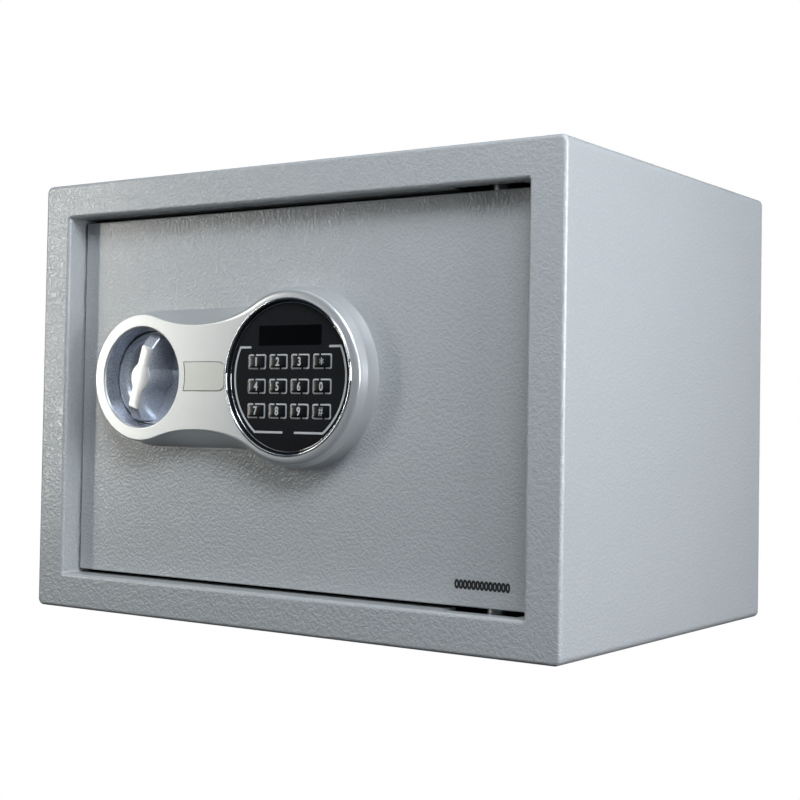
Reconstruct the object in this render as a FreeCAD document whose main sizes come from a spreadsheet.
import FreeCAD, Part
import math
import os
import re
import Sketcher

# Small electronic room safe. Millimetres, +Z up, X to the right seen from the door, Y to the rear.
# The origin is the centre of the cabinet's underside. "Depth" is the distance behind the front face
# of the cabinet's border, so depth 0 lies at y = -body_depth / 2.

SIZES = {
    # cabinet
    "body_width": 350,
    "body_depth": 250,
    "body_height": 250,
    "skin": 2,
    "corner_radius": 4,
    "bend_radius": 2,
    "border": 20,
    "flange_depth": 22,
    "opening_radius": 1,
    "anchor_radius": 5,
    "anchor_spacing": 200,
    "mat_thickness": 2,
    "mat_margin": 4,
    # strike plate behind the left border
    "strike_thickness": 3,
    "strike_depth": 50,
    "strike_half_height": 56,
    # door leaf
    "door_recess": 13,
    "door_thickness": 4,
    "gap_left": 1.7,
    "gap_right": 3,
    "gap_height": 2,
    # hinge
    "hinge_inset": 26,
    "hinge_standoff": 3,
    "pin_radius": 4.5,
    "pin_length": 12,
    "pin_play": 0.05,
    "spigot_radius": 2.5,
    "lug_half_width": 11,
    "lug_depth": 16,
    "lug_height": 6,
    "notch_left": 25,
    "notch_right": 18,
    "notch_front": 9,
    "bracket_thickness": 3,
    "bracket_lift": 4,
    "bracket_back": 36,
    # bezel
    "knob_inset": 59.8,
    "control_spacing": 105,
    "control_rise": 10.4,
    "bezel_proud": 1.3,
    "knob_rim_radius": 36,
    "knob_base_radius": 39,
    "mouth_radius": 28.4,
    "throat_radius": 26.8,
    "throat_depth": 8.3,
    "sleeve_radius": 28.9,
    "cup_floor": 20,
    "cup_floor_thickness": 2,
    "keypad_rim_radius": 46.4,
    "keypad_base_radius": 49.5,
    "waist_radius": 85,
    "wall": 2,
    "ring_radius": 42.4,
    "ring_width": 2,
    "face_depth": 1,
    "face_thickness": 2,
    "ledge_radius": 37.6,
    "boss_radius": 2.8,
    "screw_radius": 1.5,
    "screw_head_radius": 3,
    "screw_head_height": 2,
    # keypad
    "key_pitch": 14.6,
    "row_pitch": 13.15,
    "key_width": 10.6,
    "key_height": 6.4,
    "key_front": 0.3,
    "key_gap": 0.2,
    "key_travel": 0.6,
    "rows_drop": 4.9,
    "window_width": 42,
    "window_height": 10.8,
    "window_rise": 22.2,
    # knob
    "knob_gap": 0.4,
    "bowl_depth": 8.7,
    "wing_front": 1.8,
    "wing_width": 8.1,
    "wing_half_front": 18.3,
    "wing_half_back": 25,
    "hub_radius": 7,
    "knob_tilt": 16,
    "spindle_radius": 4,
    # bolt work
    "crank_radius": 12,
    "crank_pin_radius": 3,
    "crank_disc_radius": 16,
    "crank_thickness": 4,
    "slot_play": 0.6,
    "bolt_radius": 9.5,
    "bolt_play": 0.05,
    "bolt_spread": 32,
    "bolt_standoff": 17,
    "bolt_setback": 1.3,
    "carrier_half_height": 42,
    "carrier_half_width": 17.5,
    "carrier_thickness": 3,
    # override lock
    "override_rise": 0.4,
    "cover_plate_height": 16,
    "cover_plate_gap": 0.6,
    "cover_plate_thickness": 1.5,
    "lock_radius": 9,
    "plug_radius": 6,
    # solenoid
    "plunger_radius": 2.5,
    "plunger_play": 0.4,
    "plunger_drop": 5,
    "plunger_offset": 8,
    "coil_radius": 8,
    "coil_length": 12,
    "spring_length": 10,
    # rear of the door
    "cover_depth": 45,
    "cover_wall": 1.5,
    "cover_side": 15,
    "cover_hinge_side": 22,
    "cover_edge": 12,
    "cover_flange": 8,
    "cover_radius": 4,
    "cell_radius": 7.25,
    "cell_length": 50.5,
    "cell_pitch": 15,
    "contact_length": 1.75,
    "tray_wall": 1.5,
    "tray_drop": 57,
    "lid_gap": 0.3,
    "board_thickness": 1.6,
    "board_standoff": 7,
    "button_radius": 4,
}

document = FreeCAD.newDocument("room_safe")
sheet = document.addObject("Spreadsheet::Sheet", "Sizes")
for row, (alias, value) in enumerate(SIZES.items(), start=1):
    sheet.set(f"A{row}", alias)
    sheet.set(f"B{row}", str(value))
    sheet.setAlias(f"B{row}", alias)
document.recompute()

ALIAS = re.compile(r"\b(" + "|".join(sorted(SIZES, key=len, reverse=True)) + r")\b")

# Places that follow from the driving sizes
FRONT = "(-body_depth/2)"
OPEN_X = "(body_width/2 - border)"
OPEN_TOP = "(body_height - border)"
DOOR_LEFT = "(-body_width/2 + border + gap_left)"
DOOR_RIGHT = "(body_width/2 - border - gap_right)"
DOOR_LOW = "(border + gap_height)"
DOOR_HIGH = "(body_height - border - gap_height)"
DOOR_BACK = "(door_recess + door_thickness)"
HINGE_DEPTH = f"({DOOR_BACK} + hinge_standoff)"
HINGE_X = "(body_width/2 - border - hinge_inset)"
KNOB_X = f"({DOOR_LEFT} + knob_inset)"
KEYPAD_X = f"({KNOB_X} + control_spacing)"
CONTROL_Z = "(body_height/2 + control_rise)"
RIM = "(-bezel_proud)"
FACE_BACK = "(face_depth + face_thickness)"
CUP_BACK = "(cup_floor + cup_floor_thickness)"
CRANK_FRONT = f"({CUP_BACK} + 2)"
CRANK_BACK = f"({CRANK_FRONT} + crank_thickness)"
CRANK_REACH = "(crank_radius*cos(45))"
CARRIER_FRONT = f"({CRANK_BACK} + 3)"
CARRIER_BACK = f"({CARRIER_FRONT} + carrier_thickness)"
BOLT_DEPTH = f"({DOOR_BACK} + bolt_standoff)"
BOLT_TIP = f"({DOOR_LEFT} + bolt_setback)"
CARRIER_FLANGE = f"({KNOB_X} - carrier_half_width)"
COVER_LEFT = f"({DOOR_LEFT} + cover_side)"
COVER_RIGHT = f"({HINGE_X} - cover_hinge_side)"
COVER_LOW = f"({DOOR_LOW} + cover_edge)"
COVER_HIGH = f"({DOOR_HIGH} - cover_edge)"
COVER_BACK = f"({DOOR_BACK} + cover_depth)"
COVER_INSIDE = f"({COVER_BACK} - cover_wall)"
COVER_PLATE_ARC = "(mouth_radius + 3.6)"
COVER_PLATE_REACH = f"(control_spacing - {COVER_PLATE_ARC} - ring_radius - cover_plate_gap)"
OVERRIDE_OFFSET = f"(control_spacing - {COVER_PLATE_ARC} - {COVER_PLATE_REACH}/2)"
OVERRIDE_X = f"({KEYPAD_X} - {OVERRIDE_OFFSET})"
OVERRIDE_Z = f"({CONTROL_Z} + override_rise)"
PLUNGER_X = f"({KNOB_X} - plunger_offset)"
PLUNGER_DEPTH = f"({CARRIER_FRONT} + carrier_thickness/2)"
PLUNGER_TIP = f"({CONTROL_Z} + carrier_half_height + 1)"
COIL_LOW = f"({PLUNGER_TIP} + 5.5)"
COIL_HIGH = f"({COIL_LOW} + coil_length)"
BOARD_FRONT = f"({DOOR_BACK} + board_standoff)"
BOARD_BACK = f"({BOARD_FRONT} + board_thickness)"
TRAY_LEFT = f"({KEYPAD_X} - cell_pitch/2 - tray_wall)"
TRAY_RIGHT = f"({TRAY_LEFT} + 4*cell_pitch + 2*tray_wall)"
TRAY_LOW = f"({CONTROL_Z} - tray_drop)"
TRAY_HIGH = f"({TRAY_LOW} + cell_length + 2*contact_length + 2*tray_wall)"
TRAY_FRONT = f"({COVER_INSIDE} - 2*cell_radius - tray_wall - 1)"
CELL_DEPTH = f"({TRAY_FRONT} + tray_wall + cell_radius)"
RESET_X = f"({COVER_RIGHT} - 17)"
RESET_Z = f"({COVER_LOW} + 26)"

nodes = []


def bound(text):
    """Give the sheet's name to every driving size in an expression."""
    return ALIAS.sub(r"Sizes.\1", str(text))


def number(text):
    """The present value of an expression."""
    return float(sheet.evalExpression(bound(text)))


def bind(item, prop, text):
    item.setExpression(prop, bound(text))


def node(item, label):
    """Name a finished sub-part, which names its file too."""
    item.Label = label
    nodes.append(item)
    return item


# ---- sketches and PartDesign features; local y is depth behind the cabinet's front face ----

def new_body(label, x="0", z="0"):
    body = document.addObject("PartDesign::Body", label)
    bind(body, "Placement.Base.x", x)
    bind(body, "Placement.Base.y", FRONT)
    bind(body, "Placement.Base.z", z)
    return node(body, label)


def circle(x, y, radius):
    return ("circle", x, y, radius)


def rectangle(x_low, x_high, y_low, y_high):
    return [(x_low, y_low), (x_high, y_low), (x_high, y_high), (x_low, y_high)]


def rounded(x_low, x_high, y_low, y_high, radius):
    """Rectangle with round corners; a third value is the radius of the arc that ends at the point."""
    return [
        (f"{x_low} + {radius}", y_low, radius), (f"{x_high} - {radius}", y_low),
        (x_high, f"{y_low} + {radius}", radius), (x_high, f"{y_high} - {radius}"),
        (f"{x_high} - {radius}", y_high, radius), (f"{x_low} + {radius}", y_high),
        (x_low, f"{y_high} - {radius}", radius), (x_low, f"{y_low} + {radius}"),
    ]


def arc_between(start, end, radius):
    """Minor arc from start to end, anticlockwise for a positive radius and clockwise for a negative."""
    chord = end - start
    left = FreeCAD.Vector(-chord.y, chord.x, 0).normalize()
    rise = math.sqrt(max(radius * radius - chord.Length ** 2 / 4, 0))
    centre = (start + end) * 0.5 + left * (rise if radius > 0 else -rise)
    first, last = (start, end) if radius > 0 else (end, start)
    angles = [math.atan2(point.y - centre.y, point.x - centre.x) for point in (first, last)]
    if angles[1] < angles[0]:
        angles[1] += 2 * math.pi
    return Part.ArcOfCircle(Part.Circle(centre, FreeCAD.Vector(0, 0, 1), abs(radius)), *angles)


def fixed(geometry, point, x, y):
    """Constraints that tie a sketch point to expressions for its two coordinates."""
    return [(Sketcher.Constraint(kind, -1, 1, geometry, point, number(text)), text)
            for kind, text in (("DistanceX", x), ("DistanceY", y))]


def sized(geometry, text):
    return (Sketcher.Constraint("Radius", geometry, number(text)), text)


def constrain(sketch, rules):
    """Add constraints in one step, then bind those that carry an expression."""
    indices = sketch.addConstraint([rule for rule, _ in rules])
    for index, (_, text) in zip(indices, rules):
        if text:
            bind(sketch, f"Constraints[{index}]", text)


def draw_loop(sketch, points):
    """Closed loop of lines and arcs through the points; gives the rules that tie it to the sheet."""
    places = [FreeCAD.Vector(number(point[0]), number(point[1]), 0) for point in points]
    ends, rules = [], []
    for index, start in enumerate(places):
        following = (index + 1) % len(places)
        if len(points[following]) == 3:
            radius = number(points[following][2])
            geometry = sketch.addGeometry(arc_between(start, places[following], radius))
            ends.append((geometry, 1, 2) if radius > 0 else (geometry, 2, 1))
            rules.append(sized(geometry, f"abs({points[following][2]})"))
        else:
            geometry = sketch.addGeometry(Part.LineSegment(start, places[following]))
            ends.append((geometry, 1, 2))
    for index, (geometry, first, last) in enumerate(ends):
        after, after_first, _ = ends[(index + 1) % len(ends)]
        rules.append((Sketcher.Constraint("Coincident", geometry, last, after, after_first), None))
        rules += fixed(geometry, first, points[index][0], points[index][1])
    return rules


def new_sketch(body, name, role, offset, loops, shift="0"):
    """Sketch on one of the body's own planes, moved along its normal to the given coordinate."""
    sketch = body.newObject("Sketcher::SketchObject", name)
    plane = [item for item in body.Origin.OriginFeatures if item.Role == role][0]
    sketch.AttachmentSupport = [(plane, "")]
    sketch.MapMode = "FlatFace"
    bind(sketch, "AttachmentOffset.Base.x", shift)
    bind(sketch, "AttachmentOffset.Base.z", f"-({offset})" if role == "XZ_Plane" else offset)
    rules = []
    for loop in loops:
        if loop[0] == "circle":
            place = FreeCAD.Vector(number(loop[1]), number(loop[2]), 0)
            ring = Part.Circle(place, FreeCAD.Vector(0, 0, 1), number(loop[3]))
            geometry = sketch.addGeometry(ring)
            rules += [sized(geometry, loop[3])] + fixed(geometry, 3, loop[1], loop[2])
        else:
            rules += draw_loop(sketch, loop)
    constrain(sketch, rules)
    return sketch


def extrude(body, name, loops, start, end, cut=False, role="XZ_Plane"):
    """Pad or pocket from one coordinate to a larger one along the sketch plane's axis."""
    feature = body.newObject("PartDesign::Pocket" if cut else "PartDesign::Pad", name)
    feature.Profile = new_sketch(body, f"{name}_sketch", role, start, loops)
    bind(feature, "Length", f"({end}) - ({start})")
    feature.Reversed = (not cut) if role == "XZ_Plane" else cut
    body.Tip = feature
    return feature


def turn(body, name, profile, x="0", cut=False):
    """Revolve (radius, depth) points about an axis that runs front to rear."""
    feature = body.newObject("PartDesign::Groove" if cut else "PartDesign::Revolution", name)
    sketch = new_sketch(body, f"{name}_sketch", "XY_Plane", "0", [profile], shift=x)
    feature.Profile = sketch
    feature.ReferenceAxis = (sketch, ["V_Axis"])
    feature.Angle = 360
    body.Tip = feature
    return feature


def round_edges(body, name, radius, wanted):
    """Fillet the edges of the body's tip that the test picks."""
    document.recompute()
    base = body.Tip
    picked = [f"Edge{index}" for index, edge in enumerate(base.Shape.Edges, start=1) if wanted(edge)]
    fillet = body.newObject("PartDesign::Fillet", name)
    fillet.Base = (base, picked)
    bind(fillet, "Radius", radius)
    body.Tip = fillet


def at_depth(edge, text):
    """Whether the whole edge lies at one local depth."""
    depth = number(text)
    box = edge.BoundBox
    return abs(box.YMin - depth) < 1e-4 and abs(box.YMax - depth) < 1e-4


def turned(label, profile, x, z):
    """Sub-part made by one turning about a front to rear axis."""
    body = new_body(label, x, z)
    turn(body, f"{label}_turning", profile)
    return body


# ---- primitives and booleans; each takes depth, not y ----

def box(name, x_span, depth_span, z_span):
    item = document.addObject("Part::Box", name)
    bind(item, "Length", f"({x_span[1]}) - ({x_span[0]})")
    bind(item, "Width", f"({depth_span[1]}) - ({depth_span[0]})")
    bind(item, "Height", f"({z_span[1]}) - ({z_span[0]})")
    bind(item, "Placement.Base.x", x_span[0])
    bind(item, "Placement.Base.y", f"({depth_span[0]}) + {FRONT}")
    bind(item, "Placement.Base.z", z_span[0])
    return item


TURNS = {
    "X": FreeCAD.Rotation(FreeCAD.Vector(0, 1, 0), 90),
    "Y": FreeCAD.Rotation(FreeCAD.Vector(1, 0, 0), -90),
    "Z": FreeCAD.Rotation(),
}


def rod(name, axis, x, depth, z, radius, length):
    """Cylinder that starts at a point and runs in the axis's positive direction."""
    item = document.addObject("Part::Cylinder", name)
    item.Placement = FreeCAD.Placement(FreeCAD.Vector(), TURNS[axis])
    bind(item, "Radius", radius)
    bind(item, "Height", length)
    bind(item, "Placement.Base.x", x)
    bind(item, "Placement.Base.y", f"({depth}) + {FRONT}")
    bind(item, "Placement.Base.z", z)
    return item


def fuse(name, parts):
    item = document.addObject("Part::MultiFuse", name)
    item.Shapes = parts
    return item


def cut(name, base, tools):
    item = document.addObject("Part::Cut", name)
    item.Base = base
    item.Tool = tools[0] if len(tools) == 1 else fuse(f"{name}_tools", tools)
    return item


# ---- cabinet ----

def make_body_wrap():
    """Folded steel wrap: four walls, the border around the door and its return flange."""
    half, opening = "body_width/2", OPEN_X
    body = new_body("body_wrap")
    extrude(body, "wrap_block", [rounded(f"-{half}", half, "0", "body_height", "corner_radius")],
            "0", "body_depth")
    inside = rounded(f"-{half} + skin", f"{half} - skin", "skin", "body_height - skin",
                     "(corner_radius - skin)")
    extrude(body, "wrap_hollow", [inside], "skin", "body_depth", cut=True)
    mouth = rounded(f"-{opening}", opening, "border", OPEN_TOP, "opening_radius")
    extrude(body, "wrap_opening", [mouth], "0", "skin", cut=True)
    outside = rounded(f"-{opening} - skin", f"{opening} + skin", "border - skin", f"{OPEN_TOP} + skin",
                      "(opening_radius + skin)")
    extrude(body, "return_flange", [outside, mouth], "0", "flange_depth")
    for side, low, high in (("low", "border - skin - 1", "border + 0.5"),
                            ("high", f"{OPEN_TOP} - 0.5", f"{OPEN_TOP} + skin + 1")):
        notch = rectangle(f"{HINGE_X} - notch_left", f"{HINGE_X} + notch_right", low, high)
        extrude(body, f"hinge_notch_{side}", [notch], "notch_front", "flange_depth", cut=True)
    holes = [circle(f"{sign}anchor_spacing/2", "body_depth/2", "anchor_radius") for sign in ("-", "")]
    extrude(body, "floor_holes", holes, "0", "skin", cut=True, role="XY_Plane")
    round_edges(body, "border_bend", "bend_radius", lambda edge: at_depth(edge, "0"))


def make_back_panel():
    body = new_body("back_panel")
    outline = rounded("-body_width/2 + skin", "body_width/2 - skin", "skin", "body_height - skin",
                      "(corner_radius - skin)")
    holes = [circle(f"{sign}anchor_spacing/2", "body_height/2", "anchor_radius") for sign in ("-", "")]
    extrude(body, "back_sheet", [outline] + holes, "body_depth - skin", "body_depth")


def make_strike_plate():
    """Angle behind the left border that the bolts shoot through."""
    web_right = f"(-{OPEN_X} - skin)"
    web = (f"{web_right} - strike_thickness", web_right)
    heights = (f"{CONTROL_Z} - strike_half_height", f"{CONTROL_Z} + strike_half_height")
    angle = fuse("strike_angle", [
        box("strike_web", web, ("skin", "strike_depth"), heights),
        box("strike_leg", ("-body_width/2 + skin", web_right),
            ("strike_depth - strike_thickness", "strike_depth"), heights)])
    holes = [rod(f"strike_hole_{name}", "X", f"{web[0]} - 1", BOLT_DEPTH,
                 f"{CONTROL_Z} {sign} bolt_spread", "bolt_radius + 0.8", "strike_thickness + 2")
             for name, sign in (("low", "-"), ("high", "+"))]
    node(cut("strike_plate", angle, holes), "strike_plate")


def hinge_span(side, near, far):
    """Heights of a hinge piece, measured outwards from the opening's edge."""
    if side == "top":
        return (f"{OPEN_TOP} + {near}", f"{OPEN_TOP} + {far}")
    return (f"border - ({far})", f"border - ({near})")


def make_hinge_brackets():
    """Z plates welded inside the borders; each holds one hinge pin's bush hole."""
    for side in ("top", "bottom"):
        across = (f"{HINGE_X} - notch_left", f"{HINGE_X} + notch_right")
        plate = box(f"bracket_plate_{side}", across, ("skin + 4", "bracket_back"),
                    hinge_span(side, "bracket_lift", "bracket_lift + bracket_thickness"))
        hanger = box(f"bracket_hanger_{side}", across,
                     ("bracket_back - bracket_thickness", "bracket_back"),
                     hinge_span(side, "bracket_lift", "border - skin"))
        hole = rod(f"bracket_hole_{side}", "Z", HINGE_X, HINGE_DEPTH,
                   hinge_span(side, "bracket_lift", "bracket_lift + bracket_thickness")[0],
                   "pin_radius + pin_play", "bracket_thickness")
        label = f"hinge_bracket_{side}"
        node(cut(label, fuse(f"{label}_blank", [plate, hanger]), [hole]), label)


def make_floor_mat():
    side = "body_width/2 - skin - mat_margin"
    mat = box("mat_sheet", (f"-({side})", side), ("bracket_back + mat_margin", "body_depth - skin - mat_margin"),
              ("skin", "skin + mat_thickness"))
    holes = [rod(f"mat_hole_{name}", "Z", f"{sign}anchor_spacing/2", "body_depth/2", "skin",
                 "anchor_radius + 3", "mat_thickness")
             for name, sign in (("left", "-"), ("right", ""))]
    node(cut("floor_mat", mat, holes), "floor_mat")


# ---- door leaf and hinge pins ----

def bezel_screw_places():
    """Centres of the bezel's fixing bosses, from the keypad's centre."""
    places = []
    for x, reach, angle in (("-control_spacing", "(knob_base_radius - 6.3)", 140),
                            ("0", "(keypad_base_radius - 8)", 40)):
        for sign in ("-", ""):
            places.append((f"{x} + {reach}*cos({angle})", f"{sign}{reach}*sin({angle})"))
    return places


def cover_screw_places():
    """Centres of the screws that hold the rear cover's flange."""
    inset = "cover_flange/2"
    return [(x, z) for x in (f"{COVER_LEFT} - {inset}", f"{COVER_RIGHT} + {inset}")
            for z in (f"{COVER_LOW} - {inset}", f"{COVER_HIGH} + {inset}")]


def make_door_plate():
    body = new_body("door_plate")
    leaf = rounded(DOOR_LEFT, DOOR_RIGHT, DOOR_LOW, DOOR_HIGH, "opening_radius")
    extrude(body, "leaf", [leaf], "door_recess", DOOR_BACK)
    openings = [circle(KNOB_X, CONTROL_Z, "sleeve_radius + 0.5"),
                circle(OVERRIDE_X, OVERRIDE_Z, "lock_radius + 0.3"),
                rectangle(f"{KEYPAD_X} - 13", f"{KEYPAD_X} + 13", f"{CONTROL_Z} - 14", f"{CONTROL_Z} - 2")]
    openings += [circle(f"{KEYPAD_X} + {x}", f"{CONTROL_Z} + {z}", "screw_radius + 0.3")
                 for x, z in bezel_screw_places()]
    extrude(body, "leaf_openings", openings, "door_recess", DOOR_BACK, cut=True)
    taps = [circle(x, z, "screw_radius") for x, z in cover_screw_places()]
    extrude(body, "cover_taps", taps, f"{DOOR_BACK} - 3", DOOR_BACK, cut=True)
    edge_limit = number(DOOR_RIGHT) - number(DOOR_LEFT)

    def front_rim(edge):
        """Whether an edge belongs to the leaf's outline on its front face."""
        if not at_depth(edge, "door_recess"):
            return False
        left = abs(edge.BoundBox.XMin - number(DOOR_LEFT))
        right = abs(edge.BoundBox.XMax - number(DOOR_RIGHT))
        return min(left, right) < 1e-3 or edge.Length > 0.8 * edge_limit

    round_edges(body, "leaf_rim", "door_thickness/6", front_rim)


def make_hinge_lugs_and_pins():
    """Tabs welded behind the leaf's top and bottom edges, and the pins pressed in them."""
    lugs, pins = [], []
    for side in ("top", "bottom"):
        heights = (f"{DOOR_HIGH} - lug_height", DOOR_HIGH)
        tip, spigot = DOOR_HIGH, f"{DOOR_HIGH} - lug_height"
        if side == "bottom":
            heights = (DOOR_LOW, f"{DOOR_LOW} + lug_height")
            tip, spigot = f"{DOOR_LOW} - pin_length", DOOR_LOW
        tab = box(f"lug_tab_{side}", (f"{HINGE_X} - lug_half_width", f"{HINGE_X} + lug_half_width"),
                  (DOOR_BACK, f"{DOOR_BACK} + lug_depth"), heights)
        bore = rod(f"lug_bore_{side}", "Z", HINGE_X, HINGE_DEPTH, heights[0], "spigot_radius",
                   "lug_height")
        lugs.append(cut(f"lug_{side}", tab, [bore]))
        pins.append(fuse(f"pin_{side}", [
            rod(f"pin_head_{side}", "Z", HINGE_X, HINGE_DEPTH, tip, "pin_radius", "pin_length"),
            rod(f"pin_spigot_{side}", "Z", HINGE_X, HINGE_DEPTH, spigot, "spigot_radius",
                "lug_height")]))
    node(fuse("hinge_lugs", lugs), "hinge_lugs")
    node(fuse("hinge_pins", pins), "hinge_pins")


# ---- bezel ----

def waist_ends():
    """Where the waist's arc leaves the knob's rim and reaches the keypad's rim."""
    near = "(knob_rim_radius + waist_radius)"
    far = "(keypad_rim_radius + waist_radius)"
    across = f"(({near}^2 - {far}^2 + control_spacing^2)/(2*control_spacing))"
    up = f"sqrt({near}^2 - {across}^2)"
    knob_side = (f"-control_spacing + {across}*knob_rim_radius/{near}", f"{up}*knob_rim_radius/{near}")
    keypad_side = (f"({across} - control_spacing)*keypad_rim_radius/{far}",
                   f"{up}*keypad_rim_radius/{far}")
    return knob_side, keypad_side


def override_outline(gap):
    """Plate between the knob's cup and the keypad: hollow left edge, cut right corners."""
    left = f"(-control_spacing + sqrt({COVER_PLATE_ARC}^2 - (cover_plate_height/2)^2) - {gap})"
    right = f"(-control_spacing + {COVER_PLATE_ARC} + {COVER_PLATE_REACH} + {gap})"
    low = f"(override_rise - cover_plate_height/2 - {gap})"
    high = f"(override_rise + cover_plate_height/2 + {gap})"
    return [(left, high), (left, low, COVER_PLATE_ARC), (f"{right} - 3.5", low), (right, f"{low} + 4"),
            (right, f"{high} - 4"), (f"{right} - 3.5", high)]


def make_bezel_housing():
    """Hollow moulding: knob cup, keypad drum and the scooped waist between them."""
    body = new_body("bezel_housing", KEYPAD_X, CONTROL_Z)
    turn(body, "keypad_drum", [
        ("0", RIM), ("keypad_rim_radius - 1.5", RIM), ("keypad_rim_radius", f"{RIM} + 1.5"),
        ("keypad_base_radius", "door_recess"), ("0", "door_recess")])
    turn(body, "knob_drum", [
        ("0", RIM), ("knob_rim_radius - 0.7", RIM), ("knob_rim_radius", f"{RIM} + 0.7"),
        ("knob_base_radius", "door_recess"), ("sleeve_radius", "door_recess"),
        ("sleeve_radius", CUP_BACK), ("0", CUP_BACK)], x="-control_spacing")
    knob_side, keypad_side = waist_ends()
    keypad_reach = "sqrt(keypad_base_radius^2 - knob_base_radius^2)"
    base = rectangle("-control_spacing", f"-{keypad_reach}", "-knob_base_radius", "knob_base_radius")
    front = [(knob_side[0], f"-{knob_side[1]}"),
             (keypad_side[0], f"-{keypad_side[1]}", "-waist_radius"),
             keypad_side,
             (knob_side[0], knob_side[1], "-waist_radius")]
    waist = body.newObject("PartDesign::AdditiveLoft", "waist")
    waist.Profile = new_sketch(body, "waist_base", "XZ_Plane", "door_recess", [base])
    waist.Sections = [new_sketch(body, "waist_front", "XZ_Plane", RIM, [front])]
    waist.Ruled = True
    body.Tip = waist
    front_of_all = f"{RIM} - 1"
    turn(body, "keypad_hollow", [
        ("0", front_of_all), ("ring_radius", front_of_all), ("ring_radius", FACE_BACK),
        ("ledge_radius", FACE_BACK), ("ledge_radius", f"{FACE_BACK} + wall"),
        ("keypad_rim_radius - wall", f"{FACE_BACK} + wall"),
        ("keypad_base_radius - wall", "door_recess"), ("0", "door_recess")], cut=True)
    turn(body, "cup_hollow", [
        ("0", front_of_all), ("mouth_radius + 0.6", front_of_all), ("mouth_radius + 0.6", RIM),
        ("mouth_radius", f"{RIM} + 0.6"), ("throat_radius", "throat_depth"),
        ("throat_radius + 0.5", "throat_depth + 0.5"), ("throat_radius + 0.5", "cup_floor"),
        ("spindle_radius + wall", "cup_floor"), ("spindle_radius + wall", CUP_BACK),
        ("0", CUP_BACK)], x="-control_spacing", cut=True)
    turn(body, "knob_drum_hollow", [
        ("mouth_radius + wall", "wall"), ("knob_rim_radius - wall", "wall"),
        ("knob_base_radius - wall", "door_recess"), ("mouth_radius + wall", "door_recess")],
        x="-control_spacing", cut=True)
    waist_room = rectangle("-control_spacing + knob_rim_radius - 1", "-keypad_rim_radius + 1", "-22", "22")
    extrude(body, "waist_hollow", [waist_room], FACE_BACK, "door_recess", cut=True)
    seat_depth = f"{RIM} + cover_plate_thickness"
    extrude(body, "override_seat", [override_outline("0.15")], RIM, seat_depth, cut=True)
    nose = circle(f"-{OVERRIDE_OFFSET}", "override_rise", "lock_radius")
    extrude(body, "override_hole", [nose], seat_depth, FACE_BACK, cut=True)
    places = bezel_screw_places()
    extrude(body, "bosses", [circle(x, z, "boss_radius") for x, z in places], f"{FACE_BACK} + 1",
            "door_recess")
    extrude(body, "boss_holes", [circle(x, z, "screw_radius") for x, z in places], "door_recess - 6",
            "door_recess", cut=True)


def make_keypad_trim():
    """Chrome ring, gloss face with its holes, display lens and display module."""
    inner = "(ring_radius - ring_width)"
    turned("chrome_ring", [
        (inner, FACE_BACK), ("ring_radius", FACE_BACK), ("ring_radius", RIM),
        (inner, RIM, "-(ring_width/2 + 0.05)")], KEYPAD_X, CONTROL_Z)
    face = new_body("face_plate", KEYPAD_X, CONTROL_Z)
    extrude(face, "face_disc", [circle("0", "0", inner)], "face_depth", FACE_BACK)
    holes = [window_outline("0")]
    for x, z in key_places().values():
        holes.append(rounded(f"{x} - key_width/2 - key_gap", f"{x} + key_width/2 + key_gap",
                             f"{z} - key_height/2 - key_gap", f"{z} + key_height/2 + key_gap",
                             "(1 + key_gap)"))
    extrude(face, "face_holes", holes, "face_depth", FACE_BACK, cut=True)
    lens = new_body("display_lens", KEYPAD_X, CONTROL_Z)
    extrude(lens, "lens_sheet", [window_outline("0")], "face_depth", f"{FACE_BACK} - 0.4")
    module_span = (f"{KEYPAD_X} - window_width/2 + 0.5", f"{KEYPAD_X} + window_width/2 - 0.5")
    middle = f"{CONTROL_Z} + window_rise"
    node(box("display_module", module_span, (f"{FACE_BACK} - 0.4", f"{FACE_BACK} + 2.8"),
             (f"{middle} - window_height/2 + 0.5", f"{middle} + window_height/2 - 0.5")),
         "display_module")


def window_outline(gap):
    return rectangle(f"-window_width/2 + {gap}", f"window_width/2 - {gap}",
                     f"window_rise - window_height/2 + {gap}", f"window_rise + window_height/2 - {gap}")


def key_places():
    """Centre of each key from the keypad's centre, by node name."""
    rows = (("1", "2", "3", "star"), ("4", "5", "6", "0"), ("7", "8", "9", "hash"))
    return {f"key_{name}": (f"(key_pitch*{column - 1.5})", f"(row_pitch*{1 - row} - rows_drop)")
            for row, names in enumerate(rows) for column, name in enumerate(names)}


def make_keys():
    """Twelve caps, each with a flange that the face plate holds back."""
    for label, (x, z) in key_places().items():
        body = new_body(label, f"{KEYPAD_X} + {x}", f"{CONTROL_Z} + {z}")
        flange = rectangle("-key_width/2 - 0.7", "key_width/2 + 0.7", "-key_height/2 - 0.7",
                           "key_height/2 + 0.7")
        cap = rounded("-key_width/2", "key_width/2", "-key_height/2", "key_height/2", "1")
        extrude(body, f"{label}_cap", [cap], "key_front", f"{FACE_BACK} + 0.1")
        extrude(body, f"{label}_flange", [flange], f"{FACE_BACK} + 0.1", f"{FACE_BACK} + 0.9")
        round_edges(body, f"{label}_dome", "0.5", lambda edge: at_depth(edge, "key_front"))


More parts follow.
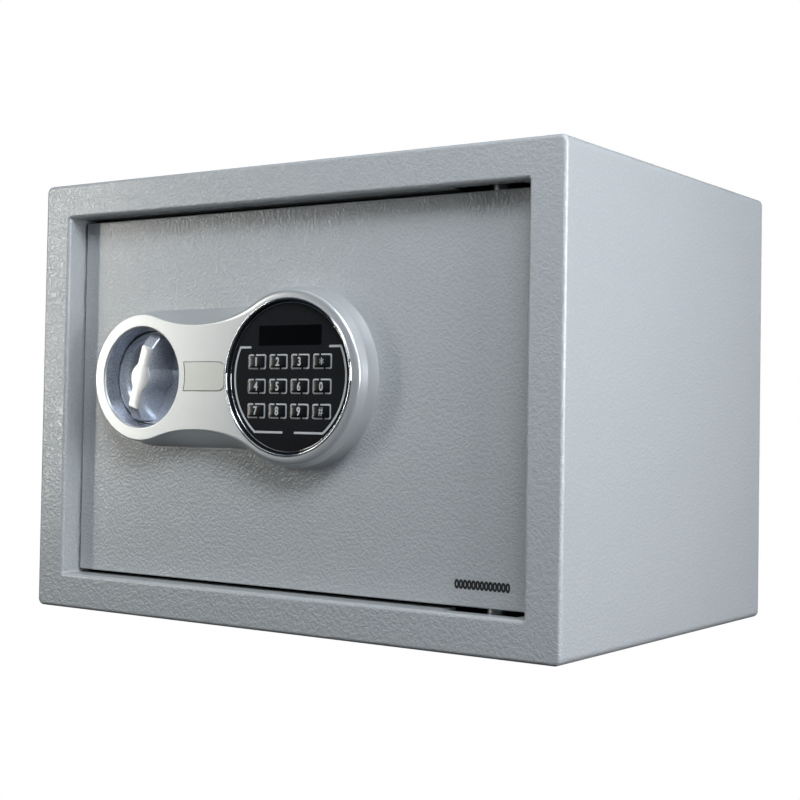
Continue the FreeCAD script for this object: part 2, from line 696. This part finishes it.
def make_keypad_electronics():
    """Rubber mat under the keys, the board behind it and its cable through the leaf."""
    mat_front = f"({FACE_BACK} + 0.9 + key_travel + 0.3)"
    board_front = f"({mat_front} + 1)"
    board_back = f"({board_front} + board_thickness)"
    low, high = f"{CONTROL_Z} - rows_drop - 1.5*row_pitch", f"{CONTROL_Z} - rows_drop + 1.45*row_pitch"
    node(box("key_mat", (f"{KEYPAD_X} - 2*key_pitch + 1", f"{KEYPAD_X} + 2*key_pitch - 1"),
             (mat_front, board_front), (low, high)), "key_mat")
    board = new_body("keypad_board", KEYPAD_X, CONTROL_Z)
    extrude(board, "keypad_laminate", [circle("0", "0", "ledge_radius - 0.6")], board_front, board_back)
    extrude(board, "keypad_chips", [rectangle("-20", "-8", "6", "16"), rectangle("6", "22", "8", "14")],
            board_back, f"{board_back} + 1.8")
    node(box("ribbon_cable", (f"{KEYPAD_X} - 9", f"{KEYPAD_X} + 9"), (board_back, BOARD_FRONT),
             (f"{CONTROL_Z} - 9", f"{CONTROL_Z} - 7.8")), "ribbon_cable")


def make_bezel_screws():
    screws = []
    for index, (x, z) in enumerate(bezel_screw_places()):
        place = (f"{KEYPAD_X} + {x}", f"{CONTROL_Z} + {z}")
        screws.append(fuse(f"bezel_screw_{index}", [
            rod(f"bezel_screw_head_{index}", "Y", place[0], DOOR_BACK, place[1], "screw_head_radius",
                "screw_head_height"),
            rod(f"bezel_screw_shank_{index}", "Y", place[0], "door_recess - 5", place[1], "screw_radius",
                "door_thickness + 5")]))
    node(fuse("bezel_screws", screws), "bezel_screws")


# ---- knob and override lock ----

def make_knob():
    """Bowl with a wing across it, a hub and a blind hole for the spindle."""
    body = new_body("knob", KNOB_X, CONTROL_Z)
    body.Placement.Rotation = FreeCAD.Rotation(FreeCAD.Vector(0, 1, 0), 0)
    bind(body, "Placement.Rotation.Axis.x", "0")
    bind(body, "Placement.Rotation.Axis.y", "1")
    bind(body, "Placement.Rotation.Axis.z", "0")
    bind(body, "Placement.Rotation.Angle", "knob_tilt")
    outer = "(throat_radius - knob_gap)"
    lip = f"({outer} - 0.8)"
    bowl_floor = "(throat_depth + bowl_depth)"
    bowl_radius = f"(({lip}^2 + bowl_depth^2)/(2*bowl_depth))"
    turn(body, "bowl", [("0", bowl_floor), (lip, "throat_depth", f"-{bowl_radius}"), (outer, "throat_depth"),
                        (outer, "cup_floor - 0.5"), ("0", "cup_floor - 0.5")])
    wing = [("-wing_front", "-wing_half_front"), ("-wing_front", "wing_half_front"),
            ("3", "wing_half_back"), ("throat_depth + 1", "wing_half_back"),
            ("cup_floor - 2", "wing_half_front"), ("cup_floor - 2", "-wing_half_front"),
            ("throat_depth + 1", "-wing_half_back"), ("3", "-wing_half_back")]
    extrude(body, "wing", [wing], "-wing_width/2", "wing_width/2", role="YZ_Plane")
    extrude(body, "hub", [circle("0", "0", "hub_radius")], "-wing_front", "cup_floor - 2")
    extrude(body, "spindle_hole", [circle("0", "0", "spindle_radius")], "cup_floor - 8",
            "cup_floor - 0.5", cut=True)


def make_spindle_parts():
    turned("knob_spindle", [("0", "cup_floor - 8"), ("spindle_radius", "cup_floor - 8"),
                            ("spindle_radius", f"{CRANK_BACK} + 2"), ("0", f"{CRANK_BACK} + 2")],
           KNOB_X, CONTROL_Z)
    bore, body_radius = "(spindle_radius + bolt_play)", "(spindle_radius + wall)"
    turned("spindle_bush", [(bore, "cup_floor"), (body_radius, "cup_floor"), (body_radius, CUP_BACK),
                            (f"{body_radius} + 2", CUP_BACK), (f"{body_radius} + 2", f"{CUP_BACK} + 1.5"),
                            (bore, f"{CUP_BACK} + 1.5")], KNOB_X, CONTROL_Z)
    crank = turned("crank_disc", rectangle("spindle_radius", "crank_disc_radius", CRANK_FRONT,
                                           CRANK_BACK), KNOB_X, CONTROL_Z)
    pin = circle(CRANK_REACH, CRANK_REACH, "crank_pin_radius")
    extrude(crank, "crank_pin", [pin], CRANK_BACK, f"{CARRIER_BACK} + 2")
    turned("spindle_clip", rectangle("spindle_radius", "spindle_radius + 3", CRANK_BACK,
                                     f"{CRANK_BACK} + 0.8"), KNOB_X, CONTROL_Z)


def make_override_lock():
    """Snap-on cover plate, lock case held in the leaf, and the plug with its cam."""
    plate = new_body("override_cover", KEYPAD_X, CONTROL_Z)
    extrude(plate, "cover_sheet", [override_outline("0")], RIM, f"{RIM} + cover_plate_thickness")
    front, back = f"({RIM} + cover_plate_thickness + 0.5)", f"({DOOR_BACK} + 9)"
    bore = "(plug_radius + bolt_play)"
    turned("override_case", [
        (bore, front), ("lock_radius", front), ("lock_radius", DOOR_BACK),
        ("lock_radius + 2.5", DOOR_BACK), ("lock_radius + 2.5", f"{DOOR_BACK} + 3"),
        ("lock_radius", f"{DOOR_BACK} + 3"), ("lock_radius", back), (bore, back)],
        OVERRIDE_X, OVERRIDE_Z)
    plug = new_body("override_plug", OVERRIDE_X, OVERRIDE_Z)
    turn(plug, "plug_barrel", [("0", front), ("plug_radius", front), ("plug_radius", f"{back} + 1"),
                               ("0", f"{back} + 1")])
    extrude(plug, "keyway", [rectangle("-1", "1", "-3.5", "3.5")], front, f"{front} + 12", cut=True)
    arm = rounded("-6", "24", "-6", "6", "4")
    cam = new_body("override_cam", OVERRIDE_X, OVERRIDE_Z)
    extrude(cam, "cam_arm", [arm], f"{back} + 1", f"{back} + 3.5")


# ---- bolt work ----

def make_bolt_work():
    """Carrier moved by the crank's pin, its two bolts, and the guide they slide in."""
    heights = (f"{CONTROL_Z} - carrier_half_height", f"{CONTROL_Z} + carrier_half_height")
    flange = (f"{CARRIER_FLANGE} - 3", CARRIER_FLANGE)
    blank = fuse("carrier_blank", [
        box("carrier_plate", (CARRIER_FLANGE, f"{KNOB_X} + carrier_half_width"),
            (CARRIER_FRONT, CARRIER_BACK), heights),
        box("carrier_end", flange, (f"{BOLT_DEPTH} - bolt_radius + 0.5", f"{BOLT_DEPTH} + bolt_radius"),
            heights)])
    half_slot = "(crank_pin_radius + slot_play)"
    slot_x = f"{KNOB_X} + {CRANK_REACH}"
    tools = [box("carrier_slot", (f"{slot_x} - {half_slot}", f"{slot_x} + {half_slot}"),
                 (CARRIER_FRONT, CARRIER_BACK),
                 (f"{CONTROL_Z} + {CRANK_REACH} - {half_slot}",
                  f"{CONTROL_Z} + crank_radius + {half_slot}"))]
    half_notch = "(plunger_radius + 0.8)"
    for name, centre in (("unlocked", PLUNGER_X), ("locked", f"({PLUNGER_X} + 2*{CRANK_REACH})")):
        tools.append(box(f"notch_{name}", (f"{centre} - {half_notch}", f"{centre} + {half_notch}"),
                         (CARRIER_FRONT, CARRIER_BACK),
                         (f"{heights[1]} - plunger_drop - 1", heights[1])))
    node(cut("bolt_carrier", blank, tools), "bolt_carrier")
    bolts, holes = [], []
    guide_left = f"({COVER_LEFT} + cover_wall + 1.3)"
    for name, sign in (("low", "-"), ("high", "+")):
        height = f"{CONTROL_Z} {sign} bolt_spread"
        bolts.append(rod(f"bolt_{name}", "X", BOLT_TIP, BOLT_DEPTH, height, "bolt_radius",
                         f"{flange[0]} - {BOLT_TIP}"))
        holes.append(rod(f"guide_hole_{name}", "X", guide_left, BOLT_DEPTH, height,
                         "bolt_radius + bolt_play", "3"))
    node(fuse("locking_bolts", bolts), "locking_bolts")
    guide_heights = (f"{heights[0]} - 3", f"{heights[1]} + 3")
    guide = fuse("guide_blank", [
        box("guide_web", (guide_left, f"{guide_left} + 3"),
            (DOOR_BACK, f"{BOLT_DEPTH} + bolt_radius + 3"), guide_heights),
        box("guide_foot", (f"{guide_left} + 3", f"{KNOB_X} - sleeve_radius - 1.5"),
            (DOOR_BACK, f"{DOOR_BACK} + 3"), guide_heights)])
    node(cut("bolt_guide", guide, holes), "bolt_guide")


def make_spring_shape(height):
    """Closed coil spring from its free length, wire and mean radius."""
    wire, mean_radius, turns = 0.4, number("plunger_radius") + 0.9, 7
    path = Part.makeHelix((height - 2 * wire) / turns, height - 2 * wire, mean_radius)
    section = Part.Wire([Part.Circle(FreeCAD.Vector(mean_radius, 0, 0),
                                     FreeCAD.Vector(0, 1, 0), wire).toShape()])
    return Part.Wire(path.Edges).makePipeShell([section], True, True)


def make_solenoid():
    """Pull solenoid above the carrier: frame, coil, plunger and return spring."""
    half, plate = "(coil_radius + 2)", "2"
    across = (f"{PLUNGER_X} - {half}", f"{PLUNGER_X} + {half}")
    web_front = f"({PLUNGER_DEPTH} + coil_radius + 0.5)"
    frame = fuse("solenoid_blank", [
        box("solenoid_low", across, (DOOR_BACK, f"{web_front} + 2"), (f"{COIL_LOW} - {plate}", COIL_LOW)),
        box("solenoid_high", across, (DOOR_BACK, f"{web_front} + 2"),
            (COIL_HIGH, f"{COIL_HIGH} + {plate}")),
        box("solenoid_web", across, (web_front, f"{web_front} + 2"), (COIL_LOW, COIL_HIGH))])
    bore = "plunger_radius + plunger_play"
    bore_low, bore_length = f"{COIL_LOW} - {plate}", f"coil_length + 2*{plate}"
    node(cut("solenoid_frame", frame, [
        rod("solenoid_bore", "Z", PLUNGER_X, PLUNGER_DEPTH, bore_low, bore, bore_length)]),
        "solenoid_frame")
    node(cut("solenoid_coil",
             rod("coil_blank", "Z", PLUNGER_X, PLUNGER_DEPTH, COIL_LOW, "coil_radius", "coil_length"),
             [rod("coil_bore", "Z", PLUNGER_X, PLUNGER_DEPTH, COIL_LOW, bore, "coil_length")]),
         "solenoid_coil")
    spring_low = f"({COIL_HIGH} + {plate})"
    head_low = f"({spring_low} + spring_length)"
    node(fuse("solenoid_plunger", [
        rod("plunger_rod", "Z", PLUNGER_X, PLUNGER_DEPTH, PLUNGER_TIP, "plunger_radius",
            f"{head_low} - {PLUNGER_TIP}"),
        rod("plunger_head", "Z", PLUNGER_X, PLUNGER_DEPTH, head_low, "plunger_radius + 2", "1.5")]),
        "solenoid_plunger")
    spring = document.addObject("Part::Feature", "plunger_spring")
    spring.Shape = make_spring_shape(number("spring_length") - 0.2)
    bind(spring, "Placement.Base.x", PLUNGER_X)
    bind(spring, "Placement.Base.y", f"{PLUNGER_DEPTH} + {FRONT}")
    bind(spring, "Placement.Base.z", f"{spring_low} + 0.5")
    node(spring, "plunger_spring")


# ---- rear of the door ----

def lid_span(gap):
    """The battery opening's four sides, drawn in by a gap."""
    return (f"({TRAY_LEFT} + tray_wall + {gap})", f"({TRAY_RIGHT} - tray_wall - {gap})",
            f"({TRAY_LOW} + tray_wall + {gap})", f"({TRAY_HIGH} - tray_wall - {gap})")


def make_inner_cover():
    """Deep pressed cover with a screwed flange, a battery opening and holes for the bolts."""
    body = new_body("inner_cover")
    wide = rounded(f"{COVER_LEFT} - cover_flange", f"{COVER_RIGHT} + cover_flange",
                   f"{COVER_LOW} - cover_flange", f"{COVER_HIGH} + cover_flange", "cover_radius")
    extrude(body, "cover_flange_sheet", [wide], DOOR_BACK, f"{DOOR_BACK} + cover_wall")
    outside = rounded(COVER_LEFT, COVER_RIGHT, COVER_LOW, COVER_HIGH, "cover_radius")
    extrude(body, "cover_shell", [outside], DOOR_BACK, COVER_BACK)
    round_edges(body, "cover_rim", "cover_wall", lambda edge: at_depth(edge, COVER_BACK))
    inside = rounded(f"{COVER_LEFT} + cover_wall", f"{COVER_RIGHT} - cover_wall",
                     f"{COVER_LOW} + cover_wall", f"{COVER_HIGH} - cover_wall",
                     "(cover_radius - cover_wall)")
    extrude(body, "cover_hollow", [inside], DOOR_BACK, COVER_INSIDE, cut=True)
    holes = [rectangle(*lid_span("0")), circle(RESET_X, RESET_Z, "button_radius + 0.2")]
    extrude(body, "cover_openings", holes, COVER_INSIDE, COVER_BACK, cut=True)
    taps = [circle(x, z, "screw_radius + 0.1") for x, z in cover_screw_places()]
    extrude(body, "cover_screw_holes", taps, DOOR_BACK, f"{DOOR_BACK} + cover_wall", cut=True)
    bolt_holes = [circle(BOLT_DEPTH, f"{CONTROL_Z} {sign} bolt_spread", "bolt_radius + 0.7")
                  for sign in ("-", "+")]
    extrude(body, "cover_bolt_holes", bolt_holes, COVER_LEFT, f"{COVER_LEFT} + cover_wall", cut=True,
            role="YZ_Plane")


def make_cover_screws():
    screws = []
    for index, (x, z) in enumerate(cover_screw_places()):
        seat = f"({DOOR_BACK} + cover_wall)"
        screws.append(fuse(f"cover_screw_{index}", [
            rod(f"cover_screw_head_{index}", "Y", x, seat, z, "screw_head_radius", "screw_head_height"),
            rod(f"cover_screw_shank_{index}", "Y", x, f"{DOOR_BACK} - 3", z, "screw_radius",
                "cover_wall + 3")]))
    node(fuse("cover_screws", screws), "cover_screws")


def make_battery_parts():
    """Tray on the cover's inner face with four cells, their contacts and the hinged lid."""
    tray = box("tray_block", (TRAY_LEFT, TRAY_RIGHT), (TRAY_FRONT, COVER_INSIDE), (TRAY_LOW, TRAY_HIGH))
    left, right, low, high = lid_span("0")
    room = box("tray_room", (left, right), (f"{TRAY_FRONT} + tray_wall", COVER_INSIDE), (low, high))
    node(cut("battery_tray", tray, [room]), "battery_tray")
    cells, contacts = [], []
    for index in range(4):
        x = f"{left} + cell_pitch*{index + 0.5}"
        first = f"{low} + contact_length"
        nub_low = f"{first} + cell_length - 1"
        can_low = first
        if index % 2:
            nub_low, can_low = first, f"{first} + 1"
        cells.append(fuse(f"cell_{index}", [
            rod(f"cell_can_{index}", "Z", x, CELL_DEPTH, can_low, "cell_radius", "cell_length - 1"),
            rod(f"cell_nub_{index}", "Z", x, CELL_DEPTH, nub_low, "2.75", "1")]))
        for end, plate_low, spring_low in (("low", low, f"{low} + 0.5"),
                                           ("high", f"{high} - 0.5", f"{high} - contact_length")):
            contacts.append(fuse(f"contact_{end}_{index}", [
                box(f"contact_plate_{end}_{index}", (f"{x} - 5", f"{x} + 5"),
                    (f"{CELL_DEPTH} - 5", f"{CELL_DEPTH} + 5"), (plate_low, f"{plate_low} + 0.5")),
                rod(f"contact_spring_{end}_{index}", "Z", x, CELL_DEPTH, spring_low, "2.5",
                    "contact_length - 0.5")]))
    node(fuse("batteries", cells), "batteries")
    node(fuse("battery_contacts", contacts), "battery_contacts")
    left, right, low, high = lid_span("lid_gap")
    lid = fuse("lid_blank", [
        box("lid_sheet", (left, right), (COVER_INSIDE, COVER_BACK), (low, high)),
        box("lid_catch", (f"({left} + {right})/2 - 8", f"({left} + {right})/2 + 8"),
            (COVER_BACK, f"{COVER_BACK} + 1.5"), (f"{high} - 5", f"{high} - 2"))])
    node(lid, "battery_lid")


def make_control_board():
    """Main board on four posts, with the reset switch and its button."""
    left, right = f"{KEYPAD_X} - 12", f"{KEYPAD_X} + 66"
    low, high = f"{CONTROL_Z} - 24", f"{CONTROL_Z} + 36"
    board = fuse("control_board", [
        box("control_laminate", (left, right), (BOARD_FRONT, BOARD_BACK), (low, high)),
        box("control_chip", (f"{left} + 30", f"{left} + 44"), (BOARD_BACK, f"{BOARD_BACK} + 2"),
            (f"{low} + 32", f"{low} + 46")),
        box("control_relay", (f"{left} + 52", f"{left} + 70"), (BOARD_BACK, f"{BOARD_BACK} + 9"),
            (f"{low} + 36", f"{low} + 48")),
        rod("control_capacitor", "Y", f"{left} + 12", BOARD_BACK, f"{low} + 48", "4", "11")])
    node(board, "control_board")
    posts = [rod(f"board_post_{index}", "Y", x, DOOR_BACK, z, "2.5", "board_standoff")
             for index, (x, z) in enumerate((x, z) for x in (f"{left} + 4", f"{right} - 4")
                                            for z in (f"{low} + 4", f"{high} - 4"))]
    node(fuse("board_posts", posts), "board_posts")
    stem_front = f"({COVER_BACK} - 12)"
    node(fuse("reset_switch", [
        box("switch_case", (f"{RESET_X} - 6", f"{RESET_X} + 6"), (f"{stem_front} - 10", f"{stem_front} - 3"),
            (f"{RESET_Z} - 6", f"{RESET_Z} + 6")),
        rod("switch_post", "Y", RESET_X, DOOR_BACK, RESET_Z, "3", f"{stem_front} - 10 - {DOOR_BACK}")]),
        "reset_switch")
    turned("reset_button", [
        ("0", stem_front), ("button_radius - 1", stem_front), ("button_radius - 1", f"{COVER_INSIDE} - 2"),
        ("button_radius + 1.5", f"{COVER_INSIDE} - 2"), ("button_radius + 1.5", f"{COVER_INSIDE} - 0.2"),
        ("button_radius", f"{COVER_INSIDE} - 0.2"), ("button_radius", f"{COVER_BACK} + 2"),
        ("0", f"{COVER_BACK} + 2")], RESET_X, RESET_Z)


def make_wiring():
    """Twin leads: from the coil across to the board's edge, and from the battery tray to the board."""
    lead_depth = f"{BOARD_BACK} + 0.9"
    start = f"{PLUNGER_X} + coil_radius"
    board_left = f"{KEYPAD_X} - 12"
    leads = []
    for index, height in enumerate((f"{COIL_LOW} + 4", f"{COIL_LOW} + 6")):
        down_x = f"{board_left} + 3 + {3 * index}"
        leads.append(fuse(f"coil_lead_{index}", [
            rod(f"coil_lead_run_{index}", "X", start, PLUNGER_DEPTH, height, "0.8",
                f"{down_x} - ({start})"),
            rod(f"coil_lead_drop_{index}", "Z", down_x, PLUNGER_DEPTH, f"{CONTROL_Z} + 30", "0.8",
                f"{height} - ({CONTROL_Z} + 30)"),
            rod(f"coil_lead_end_{index}", "Y", down_x, BOARD_BACK, f"{CONTROL_Z} + 30", "0.8",
                f"{PLUNGER_DEPTH} - {BOARD_BACK}")]))
        leads.append(rod(f"battery_lead_{index}", "Y", f"{KEYPAD_X} + 12 + {4 * index}", BOARD_BACK,
                         f"{CONTROL_Z} - 14", "0.8", f"{TRAY_FRONT} - {BOARD_BACK}"))
    node(fuse("wiring_loom", leads), "wiring_loom")


make_body_wrap()
make_back_panel()
make_strike_plate()
make_hinge_brackets()
make_floor_mat()
make_door_plate()
make_hinge_lugs_and_pins()
make_bezel_housing()
make_keypad_trim()
make_keys()
make_keypad_electronics()
make_bezel_screws()
make_knob()
make_spindle_parts()
make_override_lock()
make_bolt_work()
make_solenoid()
make_inner_cover()
make_cover_screws()
make_battery_parts()
make_control_board()
make_wiring()
document.recompute()

for item in document.Objects:
    if {"Invalid", "Error"} & set(item.State):
        raise RuntimeError(f"{item.Name} did not rebuild: {item.State}")
for item in nodes:
    if item.Shape.isNull() or not item.Shape.isValid() or not item.Shape.Solids:
        raise RuntimeError(f"{item.Label} has no sound solid")

os.makedirs("parts", exist_ok=True)
for item in nodes:
    item.Shape.exportStep(f"parts/{item.Label}.step")
print(f"{len(nodes)} sub-parts written")
